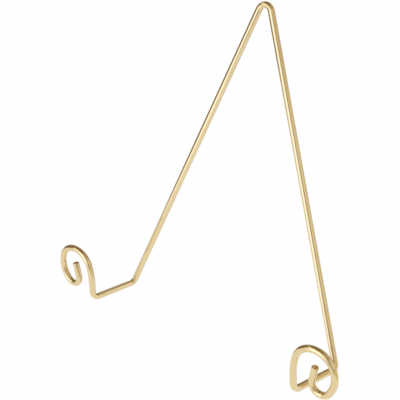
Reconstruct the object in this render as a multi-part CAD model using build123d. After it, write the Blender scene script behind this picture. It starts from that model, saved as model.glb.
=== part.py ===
from build123d import *

import math
import os

# Wall plate holder, bent from one length of round wire.
# The wire hangs on a nail by the bend at its top. Two straight legs run down the wall and spread apart.
# At each foot the wire turns forward into a ledge that the plate stands on, then up into an upright
# that keeps the plate from sliding off. The upright passes through a long shoulder arc into a scroll
# that curls away from the middle.
#
# Frame, in millimetres: +X to the right as seen from the room, +Y into the wall, +Z up.
# The wall is the plane y = 0, and the origin is where the nail bears on the inside of the top bend.


# Driving dimensions

wire = 4.0               # diameter of the round wire
end_bevel = 0.4          # bevel round the rim of each cut end

leg_drop = 205.0         # height of the legs, from where their lines cross at the top to the ledges
leg_spread = 160.0       # width between the legs at the ledges
ledge_length = 41.5      # depth of a ledge, from the leg's line to the upright's line
ledge_toe_in = 3.5       # degrees that each ledge turns inwards as it comes forward
upright_lean = 12.0      # degrees that each upright leans away from the wall
upright_toe_in = 2.0     # degrees that each upright leans towards the middle
upright_height = 12.0    # from the ledge's line to the shoulder, along the upright

top_bend = 4.5           # radius of the bend over the nail, to the wire's centre line
foot_bend = 3.0          # radius of the bend from leg to ledge
front_bend = 6.5         # radius of the bend from ledge to upright

shoulder_radius = 40.0   # scroll: the long arc out of the upright, to the wire's centre line
shoulder_turn = 16.0     # degrees
crown_radius = 12.3      # scroll: the arc over the top
crown_turn = 142.5       # degrees
side_radius = 17.0       # scroll: the flatter arc down the outer side
side_turn = 62.0         # degrees
curl_radius = 5.7        # scroll: the tight arc at the bottom
curl_turn = 151.5        # degrees
tail_length = 9.8        # scroll: the straight end that points up inside it


# Places that follow from them

half_angle = math.degrees(math.atan2(leg_spread / 2, leg_drop))
wall_gap = wire / 2      # the centre line's distance from the wall
nail_room = top_bend - wire / 2
apex_height = top_bend / math.sin(math.radians(half_angle)) - nail_room

ledge_direction = Vector(0, -1, 0).rotate(Axis.Z, -ledge_toe_in)
scroll_normal = Vector(0, -1, 0).rotate(Axis.X, upright_lean)   # a scroll's plane leans forward too
upright_direction = Vector(0, 0, 1).rotate(Axis.X, upright_lean)
upright_direction = upright_direction.rotate(Axis((0, 0, 0), scroll_normal), upright_toe_in)

apex = Vector(0, -wall_gap, apex_height)
foot = apex + Vector(leg_spread / 2, 0, -leg_drop)
front = foot + ledge_direction * ledge_length
scroll_start = front + upright_direction * upright_height


def frame_line():
    """Centre line of the top bend, the legs, the ledges and the uprights."""
    right_side = [foot, front, scroll_start]
    left_side = [Vector(-point.X, point.Y, point.Z) for point in reversed(right_side)]
    bends = [front_bend, foot_bend, top_bend, foot_bend, front_bend]
    return FilletPolyline(*left_side, apex, *right_side, radius=bends)


def right_scroll_line():
    """Centre line of the right scroll, in the plane of its leaning upright."""
    across = upright_direction.cross(scroll_normal)
    scroll_plane = Plane(scroll_start, x_dir=across, z_dir=scroll_normal)
    shoulder = JernArc((0, 0), (0, 1), shoulder_radius, -shoulder_turn)
    crown = JernArc(shoulder @ 1, shoulder % 1, crown_radius, -crown_turn)
    side = JernArc(crown @ 1, crown % 1, side_radius, -side_turn)
    curl = JernArc(side @ 1, side % 1, curl_radius, -curl_turn)
    tail = Line(curl @ 1, curl @ 1 + (curl % 1) * tail_length)
    return scroll_plane * Curve([shoulder, crown, side, curl, tail])


def centre_line():
    """The whole wire's centre line, from the tip of the left scroll to the tip of the right one."""
    right_scroll = right_scroll_line()
    left_scroll = mirror(right_scroll, about=Plane.YZ)
    return Wire(left_scroll.edges() + frame_line().edges() + right_scroll.edges())


def bent_wire(line):
    """Round wire along the line, with a small bevel round the rim of each cut end."""
    section = Plane(line @ 0, z_dir=line % 0) * Circle(wire / 2)
    rod = sweep(section, path=line)
    cut_ends = rod.faces().filter_by(GeomType.PLANE)
    return chamfer(cut_ends.edges(), end_bevel)


line = centre_line()
holder = bent_wire(line)
section_area = math.pi * wire ** 2 / 4
box = holder.bounding_box()

os.makedirs("parts", exist_ok=True)
export_step(holder, "parts/bent_wire.step")

print(f"wire length {line.length:.1f} mm")
print(f"volume {holder.volume:.0f} mm3, section times length {section_area * line.length:.0f} mm3")
print(f"overall {box.size.X:.1f} wide, {box.size.Y:.1f} deep, {box.size.Z:.1f} high")
print(f"an upright heads {upright_direction}")
print(f"a scroll starts at {scroll_start}")
print(f"lowest point z {box.min.Z:.1f}, foremost point y {box.min.Y:.1f}, top z {box.max.Z:.1f}")
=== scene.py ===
# %% [markdown]
# # A wall plate holder of bent brass wire
# The object is one length of round, polished, gold-coloured wire. It hangs on a nail by the narrow bend
# at its top, its two legs spread apart down the wall, and a display plate stands on the two ledges at
# its feet. Each ledge ends in an upright and a scroll.
# This lesson dresses the finished construction model: it loads it, bends the wire again with a finer
# surface, gives it a brass finish and two bare cut ends, and sets up the floor, the light and the camera.

# %% Load the construction model
import math

import bmesh
import bpy
from mathutils import Matrix, Vector


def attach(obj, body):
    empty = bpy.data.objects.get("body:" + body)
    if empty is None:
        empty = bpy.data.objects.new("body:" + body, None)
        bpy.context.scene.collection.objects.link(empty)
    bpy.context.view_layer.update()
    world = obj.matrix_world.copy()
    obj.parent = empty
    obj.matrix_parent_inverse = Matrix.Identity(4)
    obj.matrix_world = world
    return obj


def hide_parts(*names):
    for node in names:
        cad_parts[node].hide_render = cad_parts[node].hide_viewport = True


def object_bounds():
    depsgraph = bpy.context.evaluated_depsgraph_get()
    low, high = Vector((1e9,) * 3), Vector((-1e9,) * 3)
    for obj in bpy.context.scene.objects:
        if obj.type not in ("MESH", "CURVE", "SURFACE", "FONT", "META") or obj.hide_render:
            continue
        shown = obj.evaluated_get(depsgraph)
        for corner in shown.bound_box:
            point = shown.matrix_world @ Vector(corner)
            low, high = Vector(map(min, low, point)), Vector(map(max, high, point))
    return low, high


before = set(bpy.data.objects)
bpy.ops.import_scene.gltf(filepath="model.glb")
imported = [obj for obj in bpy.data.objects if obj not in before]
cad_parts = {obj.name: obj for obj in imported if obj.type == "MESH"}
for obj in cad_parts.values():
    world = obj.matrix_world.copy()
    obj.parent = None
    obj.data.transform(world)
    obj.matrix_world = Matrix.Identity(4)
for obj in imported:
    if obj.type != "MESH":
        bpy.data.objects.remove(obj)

cad_low, cad_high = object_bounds()
print("construction model, low corner", [round(v, 4) for v in cad_low])
print("construction model, high corner", [round(v, 4) for v in cad_high])

# %% [markdown]
# ## The sizes of the wire
# Blender works in metres, and a wire is easier to think of in millimetres, so each length is written as
# millimetres times MM. Straight runs are measured from corner to corner, as a maker marks them out, and
# the radius of a bend goes to the middle of the wire.
# The wall is the plane y = 0, and the nail bears on the inside of the top bend at z = 0.

# %% Sizes of the wire
MM = 0.001

wire = 4.0 * MM
end_bevel = 0.4 * MM

leg_drop = 205.0 * MM
leg_spread = 160.0 * MM
ledge_length = 41.5 * MM
ledge_toe_in = math.radians(3.5)
upright_lean = math.radians(12.0)
upright_toe_in = math.radians(2.0)
upright_height = 12.0 * MM

top_bend = 4.5 * MM
foot_bend = 3.0 * MM
front_bend = 6.5 * MM

scroll_arcs = {
    "shoulder": (40.0 * MM, math.radians(16.0)),
    "crown": (12.3 * MM, math.radians(142.5)),
    "side": (17.0 * MM, math.radians(62.0)),
    "curl": (5.7 * MM, math.radians(151.5)),
}
tail_length = 9.8 * MM

# %% [markdown]
# ## Where the wire turns
# A bend lies between two straight runs, so it is given by the directions before and after it. A leg runs
# down and out, a ledge comes forward and a little inwards, and an upright leans away from the wall and a
# little to the middle.
# A bend eats a little of each run beside it: its radius times the tangent of half its turn. What is left
# of the run is the length that stays straight.

# %% Directions and straight lengths
half_angle = math.atan2(leg_spread / 2, leg_drop)
leg_length = math.hypot(leg_spread / 2, leg_drop)

along_top = Vector((1, 0, 0))
down_leg = Vector((math.sin(half_angle), 0, -math.cos(half_angle)))
along_ledge = Vector((-math.sin(ledge_toe_in), -math.cos(ledge_toe_in), 0))
leaning_up = Vector((0, -math.sin(upright_lean), math.cos(upright_lean)))
up_upright = leaning_up * math.cos(upright_toe_in) - along_top * math.sin(upright_toe_in)
scroll_axis = leaning_up.cross(along_top)


def eaten(radius, before, after):
    """Length that a bend takes from the straight run on each side of it."""
    return radius * math.tan(before.angle(after) / 2)


top_eats = top_bend / math.tan(half_angle)
foot_eats = eaten(foot_bend, down_leg, along_ledge)
front_eats = eaten(front_bend, along_ledge, up_upright)
straight_leg = leg_length - top_eats - foot_eats
straight_ledge = ledge_length - foot_eats - front_eats
straight_upright = upright_height - front_eats
print("straight leg, ledge and upright in mm:",
      [round(length / MM, 1) for length in (straight_leg, straight_ledge, straight_upright)])

# %% [markdown]
# ## A bending machine for a ring of vertices
# A wire form could be a curve with a round bevel, but a curve gives no say in what happens at a bend.
# So the wire is made as a bending machine makes it. A ring of vertices is the end of the stock. Feeding
# extrudes the ring and slides it forward, and bending extrudes it and turns it about the bend's centre.
# Each vertex also keeps two notes for the finish. "stock" is its place on the straight stock, before any
# bend, so that drawn lines follow the wire round every bend. "worked" says how hard it was bent there.

# %% The bending machine
RING_POINTS = 48
BEND_STEP = math.radians(4.0)
FEED_STEP = 6.0 * MM
RIM_STEPS = 4

# Rings of a cut face: share of the face's radius, and step forward in depths of the dish.
FACE_RINGS = ((0.86, 0.0), (0.74, -1.0), (0.4, -1 / 3), (0.08, 0.0))


class BendingMachine:
    """Feeds and bends a ring of vertices, and leaves the skin of the wire behind it."""

    def __init__(self, centre, heading):
        self.mesh = bmesh.new()
        self.stock = self.mesh.verts.layers.float_vector.new("stock")
        self.worked = self.mesh.verts.layers.float.new("worked")
        self.centre = centre.copy()
        self.heading = heading.normalized()
        self.fed = 0.0
        self.squeezes = []
        turned = self.heading.to_track_quat("Z", "Y").to_matrix().to_4x4()
        place = Matrix.Translation(centre) @ turned
        bmesh.ops.create_circle(self.mesh, segments=RING_POINTS, radius=wire / 2, matrix=place)
        self.edges = list(self.mesh.edges)
        for vert in self.mesh.verts:
            on_ring = place.inverted() @ vert.co
            vert[self.stock] = (0, on_ring.x, on_ring.y)

    def push(self, matrix, length, worked=0.0):
        """Extrude the ring, carry the new ring by the matrix and note where on the stock it is."""
        made = bmesh.ops.extrude_edge_only(self.mesh, edges=self.edges)["geom"]
        verts = [item for item in made if isinstance(item, bmesh.types.BMVert)]
        ring = set(verts)
        self.edges = [item for item in made
                      if isinstance(item, bmesh.types.BMEdge) and ring.issuperset(item.verts)]
        bmesh.ops.transform(self.mesh, matrix=matrix, verts=verts)
        self.centre = matrix @ self.centre
        self.heading = (matrix.to_3x3() @ self.heading).normalized()
        self.fed += length
        for vert in verts:
            vert[self.stock] = (self.fed, vert[self.stock][1], vert[self.stock][2])
            vert[self.worked] = worked
        return verts

    def feed(self, length):
        """Straight wire."""
        steps = max(1, math.ceil(length / FEED_STEP))
        for _ in range(steps):
            self.push(Matrix.Translation(self.heading * length / steps), length / steps)

    def bend(self, radius, turn, axis, squeeze=0.0):
        """Turn the wire about the axis. Squeeze is how much the bending pin flattens the wire."""
        axis = axis.normalized()
        pivot = self.centre + axis.cross(self.heading) * radius
        steps = max(1, math.ceil(turn / BEND_STEP))
        move = (Matrix.Translation(pivot) @ Matrix.Rotation(turn / steps, 4, axis)
                @ Matrix.Translation(-pivot))
        for step in range(1, steps + 1):
            share = math.sin(math.pi * step / steps)
            verts = self.push(move, radius * turn / steps, share * wire / 2 / radius)
            self.squeezes.append((verts, self.centre.copy(), pivot - self.centre, axis, squeeze * share))

    def bend_to(self, radius, direction, squeeze=0.0):
        """Turn the wire until it heads in the direction."""
        self.bend(radius, self.heading.angle(direction), self.heading.cross(direction), squeeze)

    def flatten_bends(self):
        """Squeeze the rings in the bends towards the bend's centre, once all of them are in place."""
        for verts, centre, inwards, axis, squeeze in self.squeezes:
            side = inwards.normalized()
            frame_of_ring = Matrix((side, axis, side.cross(axis))).transposed().to_4x4()
            space = (Matrix.Translation(centre) @ frame_of_ring).inverted()
            bmesh.ops.scale(self.mesh, vec=(1 - squeeze, 1, 1), verts=verts, space=space)

    def close_end(self, bevel, dish):
        """Round the rim of the cut end, sink its face a little and close it."""
        quarter = math.pi / 2
        radius = wire / 2
        for step in range(1, RIM_STEPS + 1):
            angle = quarter * step / RIM_STEPS
            forward = bevel * (math.sin(angle) - math.sin(angle - quarter / RIM_STEPS))
            wanted = wire / 2 - bevel * (1 - math.cos(angle))
            self.shrink_ring(wanted / radius, forward)
            radius = wanted
        face_radius = radius
        for share, depths in FACE_RINGS:
            wanted = share * face_radius
            self.shrink_ring(wanted / radius, depths * dish)
            radius = wanted
        bmesh.ops.contextual_create(self.mesh, geom=self.edges)

    def shrink_ring(self, factor, forward):
        """Push the ring forward and shrink it about the middle of the wire."""
        middle = self.centre.copy()
        shrink = Matrix.Translation(middle) @ Matrix.Scale(factor, 4) @ Matrix.Translation(-middle)
        for vert in self.push(Matrix.Translation(self.heading * forward) @ shrink, forward):
            vert[self.stock] = (vert[self.stock][0], vert[self.stock][1] * factor,
                                vert[self.stock][2] * factor)


print("the ring has", RING_POINTS, "points and a bend goes in steps of", round(math.degrees(BEND_STEP)),
      "degrees")

# %% [markdown]
# ## Bend the right half
# The holder is its own mirror image, so only the right half is bent, from the middle of the top bend to
# the tip of the right scroll. The three sharp bends are made round a pin, which flattens the wire by a
# few hundredths. The arcs of the scroll are all about one axis, the normal of the leaning plane that the
# upright stands in: a long shoulder, a round crown, a flatter side, a tight curl and a straight tail.

# %% Bend the right half
PIN_SQUEEZE = 0.05

machine = BendingMachine(Vector((0, -wire / 2, wire / 2)), along_top)
machine.bend_to(top_bend, down_leg, PIN_SQUEEZE)
machine.feed(straight_leg)
machine.bend_to(foot_bend, along_ledge, PIN_SQUEEZE)
machine.feed(straight_ledge)
machine.bend_to(front_bend, up_upright, PIN_SQUEEZE)
machine.feed(straight_upright)
for radius, turn in scroll_arcs.values():
    machine.bend(radius, turn, scroll_axis)
machine.feed(tail_length - end_bevel)
print("half of the wire is", round((machine.fed + end_bevel) / MM, 1), "mm long")

# %% [markdown]
# ## Cut the end and mirror the half
# A cut wire end isn't a flat disc. Its rim is dressed round so that it doesn't scratch, and its face is
# sunk a little where the cutter pulled it. The same ring is pushed and shrunk to make both.
# Then the half is mirrored. The mirrored half gets its own stretch of stock, with minus signs, so that
# the drawn lines aren't mirrored too.
# Extruding makes the faces of a ring in an order that changes from run to run. The shape is the same, but
# the faces are sorted by their place, so that the mesh is the same each time too.

# %% Cut end, mirror, and the finished piece
FACE_DISH = 0.12 * MM
MERGE_DISTANCE = 0.001 * MM

first_rim_face = len(machine.mesh.faces)
machine.close_end(end_bevel, FACE_DISH)
machine.flatten_bends()
skin = machine.mesh
skin.faces.ensure_lookup_table()
first_cut_face = first_rim_face + RIM_STEPS * RING_POINTS
for face in skin.faces[first_cut_face:]:
    face.material_index = 1

bmesh.ops.mirror(skin, geom=skin.verts[:] + skin.edges[:] + skin.faces[:], axis="X",
                 merge_dist=MERGE_DISTANCE)
for vert in skin.verts:
    if vert.co.x < 0:
        vert[machine.stock] = (-vert[machine.stock][0], vert[machine.stock][1], vert[machine.stock][2])
bmesh.ops.recalc_face_normals(skin, faces=skin.faces[:])
for face in skin.faces:
    face.smooth = True


def place_of(face):
    """Middle of the face, to a thousandth of a millimetre."""
    return tuple(round(value / MM, 3) for value in face.calc_center_median())


rank = {face: position for position, face in enumerate(sorted(skin.faces, key=place_of))}
skin.faces.sort(key=rank.get)

brass_wire = bpy.data.objects.new("brass_wire", bpy.data.meshes.new("brass_wire"))
bpy.context.scene.collection.objects.link(brass_wire)
open_edges = sum(1 for edge in skin.edges if not edge.is_manifold)
skin.to_mesh(brass_wire.data)
skin.free()
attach(brass_wire, "root")
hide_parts("bent_wire")
print("the wire has", len(brass_wire.data.polygons), "faces and", open_edges, "open edges")

# %% [markdown]
# ## Helpers for the finishes
# A finish is a small network of nodes. These helpers keep the recipes short: one adds a node, one makes
# an empty group with named inputs and outputs, and one places a group in a material and sets its inputs.

# %% Helpers for nodes
def add_node(tree, kind, **settings):
    """Add a node of the kind and set its plain properties."""
    node = tree.nodes.new(kind)
    for name, value in settings.items():
        setattr(node, name, value)
    return node


def new_group(name, inputs, outputs):
    """An empty shader group. Inputs are name: (kind, value) and outputs are name: kind."""
    group = bpy.data.node_groups.new(name, "ShaderNodeTree")
    for socket, (kind, value) in inputs.items():
        made = group.interface.new_socket(socket, in_out="INPUT", socket_type=kind)
        if value is not None:
            made.default_value = value
    for socket, kind in outputs.items():
        group.interface.new_socket(socket, in_out="OUTPUT", socket_type=kind)
    return group, group.nodes.new("NodeGroupInput"), group.nodes.new("NodeGroupOutput")


def use_group(tree, group, **values):
    """Place a group in a material and set the values of its inputs."""
    node = add_node(tree, "ShaderNodeGroup", node_tree=group)
    for name, value in values.items():
        node.inputs[name.replace("_", " ")].default_value = value
    return node


# %% [markdown]
# ## Fine lines
# Wire is drawn through a die, which leaves lines along it that polishing never quite removes. A shear
# leaves lines too, across the face that it cuts. Both are the same pattern at another scale: noise that
# is stretched in one direction. So it is one group, and each material stretches it with its own numbers.

# %% Group for fine lines
fine_lines, group_in, group_out = new_group(
    "fine_lines",
    {"Vector": ("NodeSocketVector", None), "Stretch": ("NodeSocketVector", (1, 1, 1)),
     "Patchiness": ("NodeSocketFloat", 0.5)},
    {"Lines": "NodeSocketFloat"})

# The lines fade in patches: (lines - 0.5) * (1 - patches * patchiness) + 0.5.
stretched = add_node(fine_lines, "ShaderNodeVectorMath", operation="MULTIPLY")
lines = add_node(fine_lines, "ShaderNodeTexNoise")
lines.inputs["Scale"].default_value = 1.0
lines.inputs["Detail"].default_value = 2.0
patches = add_node(fine_lines, "ShaderNodeTexNoise")
patches.inputs["Scale"].default_value = 60.0
patches.inputs["Detail"].default_value = 1.0
faded = add_node(fine_lines, "ShaderNodeMath", operation="MULTIPLY")
kept = add_node(fine_lines, "ShaderNodeMath", operation="MULTIPLY_ADD")
kept.inputs[2].default_value = 0.5
centred = add_node(fine_lines, "ShaderNodeMath", operation="SUBTRACT")
centred.inputs[1].default_value = 0.5
shared = add_node(fine_lines, "ShaderNodeMath", operation="SUBTRACT")
shared.inputs[0].default_value = 1.0
fine_lines.links.new(group_in.outputs["Vector"], stretched.inputs[0])
fine_lines.links.new(group_in.outputs["Stretch"], stretched.inputs[1])
fine_lines.links.new(stretched.outputs[0], lines.inputs["Vector"])
fine_lines.links.new(group_in.outputs["Vector"], patches.inputs["Vector"])
fine_lines.links.new(patches.outputs["Fac"], faded.inputs[0])
fine_lines.links.new(group_in.outputs["Patchiness"], faded.inputs[1])
fine_lines.links.new(faded.outputs[0], shared.inputs[1])
fine_lines.links.new(lines.outputs["Fac"], centred.inputs[0])
fine_lines.links.new(centred.outputs[0], kept.inputs[0])
fine_lines.links.new(shared.outputs[0], kept.inputs[1])
fine_lines.links.new(kept.outputs[0], group_out.inputs["Lines"])
print("fine_lines has", len(fine_lines.nodes), "nodes")

# %% [markdown]
# ## Smudges
# Polished metal that has been handled isn't equally bright all over. Faint films change how sharp the
# reflections are, in soft patches of a centimetre or so. The group gives a mask of such patches.

# %% Group for smudges
smudges, group_in, group_out = new_group(
    "smudges",
    {"Vector": ("NodeSocketVector", None), "Patches Per Metre": ("NodeSocketFloat", 90.0)},
    {"Smudge": "NodeSocketFloat"})
film = add_node(smudges, "ShaderNodeTexNoise")
film.inputs["Detail"].default_value = 3.0
film.inputs["Roughness"].default_value = 0.6
film_range = add_node(smudges, "ShaderNodeMapRange", interpolation_type="SMOOTHSTEP")
film_range.inputs["From Min"].default_value = 0.42
film_range.inputs["From Max"].default_value = 0.72
smudges.links.new(group_in.outputs["Vector"], film.inputs["Vector"])
smudges.links.new(group_in.outputs["Patches Per Metre"], film.inputs["Scale"])
smudges.links.new(film.outputs["Fac"], film_range.inputs["Value"])
smudges.links.new(film_range.outputs["Result"], group_out.inputs["Smudge"])
print("smudges has", len(smudges.nodes), "nodes")

# %% [markdown]
# ## Polished brass
# The wire is bright brass. Its colour is a metal's colour, so all of it is in Base Color with Metallic
# at 1, and the shine comes from a low Roughness. A flat value would look like plastic film, so smudges
# and drawn lines vary the roughness, hard-worked bends are a little duller and browner, and a shallow
# bump follows the drawn lines.

# %% Polished brass
BRASS = (0.775, 0.63, 0.36, 1)
WORKED_BRASS = (0.69, 0.51, 0.25, 1)
BRASS_ROUGHNESS = 0.08
FILM_PATCHES = 85.0
DRAWN_STRETCH = (45.0, 6500.0, 6500.0)
LINE_DEPTH = 0.02 * MM

# What each of them adds to the roughness, and how far it turns the colour brown.
FILM_DULLS = 0.05
LINES_DULL = 0.04
BENDS_DULL = 0.10
FILM_BROWNS = 0.12
BENDS_BROWN = 0.35


def new_material(name):
    """A node material, its tree and its Principled shader."""
    material = bpy.data.materials.new(name)
    material.use_nodes = True
    return material, material.node_tree, material.node_tree.nodes["Principled BSDF"]


polished_brass, tree, shader = new_material("polished_brass")
shader.inputs["Metallic"].default_value = 1.0

place_on_stock = add_node(tree, "ShaderNodeAttribute", attribute_type="GEOMETRY", attribute_name="stock")
bent_here = add_node(tree, "ShaderNodeAttribute", attribute_type="GEOMETRY", attribute_name="worked")
coordinates = add_node(tree, "ShaderNodeTexCoord")
drawn = use_group(tree, fine_lines, Stretch=DRAWN_STRETCH, Patchiness=0.6)
film = use_group(tree, smudges, Patches_Per_Metre=FILM_PATCHES)
tree.links.new(place_on_stock.outputs["Vector"], drawn.inputs["Vector"])
tree.links.new(coordinates.outputs["Object"], film.inputs["Vector"])

rough_film = add_node(tree, "ShaderNodeMath", operation="MULTIPLY_ADD")
rough_film.inputs[1].default_value = FILM_DULLS
rough_film.inputs[2].default_value = BRASS_ROUGHNESS
rough_lines = add_node(tree, "ShaderNodeMath", operation="MULTIPLY_ADD")
rough_lines.inputs[1].default_value = LINES_DULL
rough_bends = add_node(tree, "ShaderNodeMath", operation="MULTIPLY_ADD")
rough_bends.inputs[1].default_value = BENDS_DULL
tree.links.new(film.outputs["Smudge"], rough_film.inputs[0])
tree.links.new(drawn.outputs["Lines"], rough_lines.inputs[0])
tree.links.new(rough_film.outputs[0], rough_lines.inputs[2])
tree.links.new(bent_here.outputs["Fac"], rough_bends.inputs[0])
tree.links.new(rough_lines.outputs[0], rough_bends.inputs[2])
tree.links.new(rough_bends.outputs[0], shader.inputs["Roughness"])

browning = add_node(tree, "ShaderNodeMath", operation="MULTIPLY_ADD", use_clamp=True)
browning.inputs[1].default_value = FILM_BROWNS
browned = add_node(tree, "ShaderNodeMix", data_type="RGBA")
browned.inputs["A"].default_value = BRASS
browned.inputs["B"].default_value = WORKED_BRASS
worked_share = add_node(tree, "ShaderNodeMath", operation="MULTIPLY")
worked_share.inputs[1].default_value = BENDS_BROWN
tree.links.new(bent_here.outputs["Fac"], worked_share.inputs[0])
tree.links.new(film.outputs["Smudge"], browning.inputs[0])
tree.links.new(worked_share.outputs[0], browning.inputs[2])
tree.links.new(browning.outputs[0], browned.inputs["Factor"])
tree.links.new(browned.outputs["Result"], shader.inputs["Base Color"])

relief = add_node(tree, "ShaderNodeBump")
relief.inputs["Strength"].default_value = 0.12
relief.inputs["Distance"].default_value = LINE_DEPTH
tree.links.new(drawn.outputs["Lines"], relief.inputs["Height"])
tree.links.new(relief.outputs["Normal"], shader.inputs["Normal"])
brass_wire.data.materials.append(polished_brass)
print(polished_brass.name, "has", len(tree.nodes), "nodes")

# %% [markdown]
# ## The cut ends
# A sheared face is bare metal that was never polished: duller, browner and crossed by fine tear lines.
# It reads its place on the stock too, where the face is a small disc, and stretches the same fine lines
# across it.

# %% Cut ends
CUT_BRASS = (0.82, 0.58, 0.25, 1)
CUT_EDGE = (0.90, 0.72, 0.44, 1)
CUT_ROUGHNESS = 0.28
CUT_PATCHES = 700.0
TORN_STRETCH = (0.0, 900.0, 9000.0)
TEARS_DULL = 0.25
TEAR_DEPTH = 0.05 * MM

cut_end, tree, shader = new_material("cut_end")
shader.inputs["Metallic"].default_value = 1.0
place_on_stock = add_node(tree, "ShaderNodeAttribute", attribute_type="GEOMETRY", attribute_name="stock")
coordinates = add_node(tree, "ShaderNodeTexCoord")
torn = use_group(tree, fine_lines, Stretch=TORN_STRETCH, Patchiness=0.2)
film = use_group(tree, smudges, Patches_Per_Metre=CUT_PATCHES)
tree.links.new(place_on_stock.outputs["Vector"], torn.inputs["Vector"])
tree.links.new(coordinates.outputs["Object"], film.inputs["Vector"])
torn_rough = add_node(tree, "ShaderNodeMath", operation="MULTIPLY_ADD")
torn_rough.inputs[1].default_value = TEARS_DULL
torn_rough.inputs[2].default_value = CUT_ROUGHNESS
torn_colour = add_node(tree, "ShaderNodeMix", data_type="RGBA")
torn_colour.inputs["A"].default_value = CUT_BRASS
torn_colour.inputs["B"].default_value = CUT_EDGE
tree.links.new(torn.outputs["Lines"], torn_rough.inputs[0])
tree.links.new(torn_rough.outputs[0], shader.inputs["Roughness"])
tree.links.new(film.outputs["Smudge"], torn_colour.inputs["Factor"])
tree.links.new(torn_colour.outputs["Result"], shader.inputs["Base Color"])
relief = add_node(tree, "ShaderNodeBump")
relief.inputs["Strength"].default_value = 0.6
relief.inputs["Distance"].default_value = TEAR_DEPTH
tree.links.new(torn.outputs["Lines"], relief.inputs["Height"])
tree.links.new(relief.outputs["Normal"], shader.inputs["Normal"])
brass_wire.data.materials.append(cut_end)
print(cut_end.name, "has", len(tree.nodes), "nodes")

# %% [markdown]
# ## A white room
# The holder is shown on plain white. The world is white at strength 1, for the camera and for the
# reflections alike, and a wide, pale, matt floor lies well below the object. A lamp could light the
# metal too, but polished wire would show it as a small hard spot, so the room itself is the light.

# %% White room
FLOOR_HEIGHT = -0.85
FLOOR_RADIUS = 40.0
FLOOR_PAINT = (0.995, 0.995, 0.995, 1)

white_room = bpy.data.worlds.new("white_room")
white_room.use_nodes = True
bpy.context.scene.world = white_room
background = white_room.node_tree.nodes["Background"]
background.inputs["Color"].default_value = (1, 1, 1, 1)
background.inputs["Strength"].default_value = 1.0

floor_disc = bmesh.new()
bmesh.ops.create_circle(floor_disc, cap_ends=True, segments=64, radius=FLOOR_RADIUS,
                        matrix=Matrix.Translation((0, 0, FLOOR_HEIGHT)))
floor = bpy.data.objects.new("floor", bpy.data.meshes.new("floor"))
floor_disc.to_mesh(floor.data)
floor_disc.free()
bpy.context.scene.collection.objects.link(floor)
floor_paint, tree, shader = new_material("floor_paint")
shader.inputs["Base Color"].default_value = FLOOR_PAINT
shader.inputs["Roughness"].default_value = 1.0
shader.inputs["Specular IOR Level"].default_value = 0.0
floor.data.materials.append(floor_paint)
print("the floor lies", round((cad_low[2] - FLOOR_HEIGHT) / MM), "mm below the holder")

# %% [markdown]
# ## Cards round the object
# Polished metal has no look of its own: it shows what stands round it. A white room alone makes it flat
# and pale, so a photographer stands cards round it. Bright ones, the softboxes, give the long highlights.
# Dark ones, called flags, turn the edges of the wire crisp, and tan and brown ones warm the dark lines.
# One picture of a studio on the world would do this too, but a card can be moved or turned down alone,
# and a near card is seen differently from each end of the wire, as a real one is.
# A card's place is given as seen from the middle of the object: how far round, how far up, and how far
# away.

# %% Directions from the object
object_middle = (Vector(cad_low) + Vector(cad_high)) / 2


def towards(azimuth, elevation):
    """Direction from the object: azimuth 0 is out of the wall, positive to the right, in degrees."""
    a, e = math.radians(azimuth), math.radians(elevation)
    return Vector((math.sin(a) * math.cos(e), -math.cos(a) * math.cos(e), math.sin(e)))


print("cards are placed from", [round(v, 3) for v in object_middle])

# %% [markdown]
# ## Soft edges for a card
# A softbox is brightest in its middle and dims towards its rim, so its reflection ends softly. That could
# be built from many lamps side by side, but a mask is simpler: it is 1 in the middle of the card and falls
# smoothly to 0 at the rim. It is measured across and along the card, and the two are multiplied.

# %% Group for soft edges
card_fade, group_in, group_out = new_group(
    "card_fade",
    {"Half Width": ("NodeSocketFloat", 0.5), "Half Height": ("NodeSocketFloat", 0.5),
     "Edge": ("NodeSocketFloat", 0.1)},
    {"Mask": "NodeSocketFloat"})
coordinates = add_node(card_fade, "ShaderNodeTexCoord")
split = add_node(card_fade, "ShaderNodeSeparateXYZ")
both_ways = add_node(card_fade, "ShaderNodeMath", operation="MULTIPLY")
card_fade.links.new(coordinates.outputs["Object"], split.inputs[0])
for index, (axis, half_size) in enumerate((("X", "Half Width"), ("Y", "Half Height"))):
    distance = add_node(card_fade, "ShaderNodeMath", operation="ABSOLUTE")
    inside = add_node(card_fade, "ShaderNodeMath", operation="SUBTRACT")
    fade = add_node(card_fade, "ShaderNodeMapRange", interpolation_type="SMOOTHSTEP")
    card_fade.links.new(split.outputs[axis], distance.inputs[0])
    card_fade.links.new(group_in.outputs[half_size], inside.inputs[0])
    card_fade.links.new(distance.outputs[0], inside.inputs[1])
    card_fade.links.new(inside.outputs[0], fade.inputs["Value"])
    card_fade.links.new(group_in.outputs["Edge"], fade.inputs["From Max"])
    card_fade.links.new(fade.outputs["Result"], both_ways.inputs[index])
card_fade.links.new(both_ways.outputs[0], group_out.inputs["Mask"])
print("card_fade has", len(card_fade.nodes), "nodes")

# %% [markdown]
# ## Stand a card
# A card is a flat sheet of light that faces the object. Paper lit by a lamp would do the same, but then
# the lamp shows too. Its size is given by the two angles that it covers, so that it can be moved nearer
# or farther without looking bigger. Only reflections can see it, so it throws no light on the floor and
# no shadow, and the camera looks straight through it.
# Its paper is black and only glows, and the mask goes into Alpha, so the room shows through its soft edges.

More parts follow.
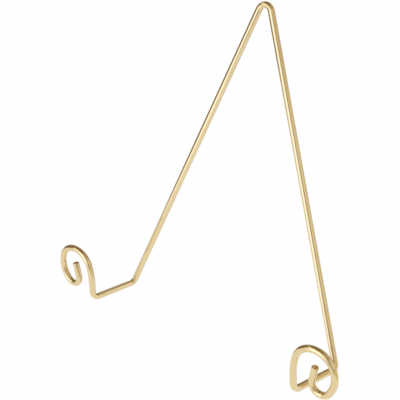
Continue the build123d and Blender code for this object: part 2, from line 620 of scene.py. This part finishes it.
# %% Stand a card
def stand_card(name, azimuth, elevation, wide, high, distance, colour, strength, fade):
    """A card that covers wide by high degrees and whose edges fade over that many degrees."""
    width = 2 * distance * math.tan(math.radians(wide / 2))
    height = 2 * distance * math.tan(math.radians(high / 2))
    sheet = bmesh.new()
    bmesh.ops.create_grid(sheet, x_segments=1, y_segments=1, size=0.5)
    bmesh.ops.scale(sheet, vec=(width, height, 1), verts=sheet.verts[:])
    card = bpy.data.objects.new(name, bpy.data.meshes.new(name))
    sheet.to_mesh(card.data)
    sheet.free()
    bpy.context.scene.collection.objects.link(card)
    direction = towards(azimuth, elevation)
    card.location = object_middle + direction * distance
    card.rotation_euler = direction.to_track_quat("Z", "Y").to_euler()
    card.visible_camera = False
    card.visible_diffuse = False
    card.visible_shadow = False
    paper, tree, shader = new_material(name)
    shader.inputs["Base Color"].default_value = (0, 0, 0, 1)
    shader.inputs["Specular IOR Level"].default_value = 0.0
    shader.inputs["Emission Color"].default_value = (*colour, 1)
    shader.inputs["Emission Strength"].default_value = strength
    mask = use_group(tree, card_fade, Half_Width=width / 2, Half_Height=height / 2,
                     Edge=distance * math.tan(math.radians(fade)))
    tree.links.new(mask.outputs["Mask"], shader.inputs["Alpha"])
    card.data.materials.append(paper)


# %% [markdown]
# ## Where the cards stand
# The values were found by fitting the reflections along the wire to those in the photograph, with all the
# cards at once, and two cards and the cool tint of the softbox were then set one by one. Five colours are
# enough. A nearer card hides a farther one, so a small flag can stand before a large wall.

# %% Cards
WHITE = (1.0, 1.0, 1.0)
PALE = (1.0, 0.96, 0.90)
TAN = (1.0, 0.87, 0.68)
BROWN = (1.0, 0.75, 0.38)
COOL_WHITE = (1.0, 1.04, 1.28)

# Name, azimuth, elevation, wide and high in degrees, distance in metres, colour, strength, fade in degrees.
CARDS = (
    ("softbox", -9, -2, 37, 58, 0.73, COOL_WHITE, 1.62, 4),
    ("upper_softbox", -48, 21, 58, 49, 2.10, WHITE, 1.28, 9),
    ("rear_flag", 163, 18, 15, 14, 0.92, BROWN, 0.0, 6),
    ("low_rear_card", 178, -50, 16, 38, 0.86, BROWN, 0.57, 5),
    ("right_softbox", 84, 13, 75, 31, 1.50, PALE, 0.89, 9),
    ("right_wall", 88, 2, 84, 82, 1.52, TAN, 0.77, 8),
    ("left_wall", -89, -17, 44, 20, 1.42, PALE, 0.53, 9),
    ("camera_flag", 40, 0, 26, 65, 0.98, PALE, 0.22, 9),
    ("small_flag", 13, -19, 29, 18, 0.89, PALE, 0.06, 8),
    ("left_flag", -90, 13, 89, 61, 0.55, BROWN, 0.26, 10),
    ("rear_left_flag", -165, 4, 58, 66, 0.86, BROWN, 0.31, 9),
    ("rear_right_flag", 131, 38, 36, 84, 0.90, BROWN, 0.70, 9),
    ("left_ceiling", -89, 81, 76, 70, 1.63, BROWN, 0.28, 9),
    ("ceiling", 0, 90, 113, 110, 2.20, TAN, 0.49, 9),
    ("grey_floor_card", -7, -85, 122, 76, 1.35, WHITE, 0.92, 9),
)
for card_values in CARDS:
    stand_card(*card_values)
print(len(CARDS), "cards stand round the object")

# %% [markdown]
# ## The camera
# The photograph was taken from a little above and to the right, half a metre away, with the camera
# slightly turned about its own axis. The lens and the place were found by fitting the wire's straight
# runs and bends to the picture.

# %% Camera
LENS = 78.33
camera_aim = Vector((-15.86, -22.47, -115.14)) * MM
camera_distance = 521.0 * MM
camera_roll = math.radians(6.3)
camera_azimuth, camera_elevation = 37.0, 16.8

backwards = towards(camera_azimuth, camera_elevation)
camera = bpy.data.objects.new("camera", bpy.data.cameras.new("camera"))
bpy.context.scene.collection.objects.link(camera)
camera.data.lens = LENS
camera.location = camera_aim + backwards * camera_distance
level = (-backwards).to_track_quat("-Z", "Y").to_matrix()
camera.rotation_euler = (level @ Matrix.Rotation(camera_roll, 3, "Z")).to_euler()
bpy.context.scene.camera = camera
bpy.context.scene.view_settings.view_transform = "Standard"
print("camera at", [round(v, 3) for v in camera.location])
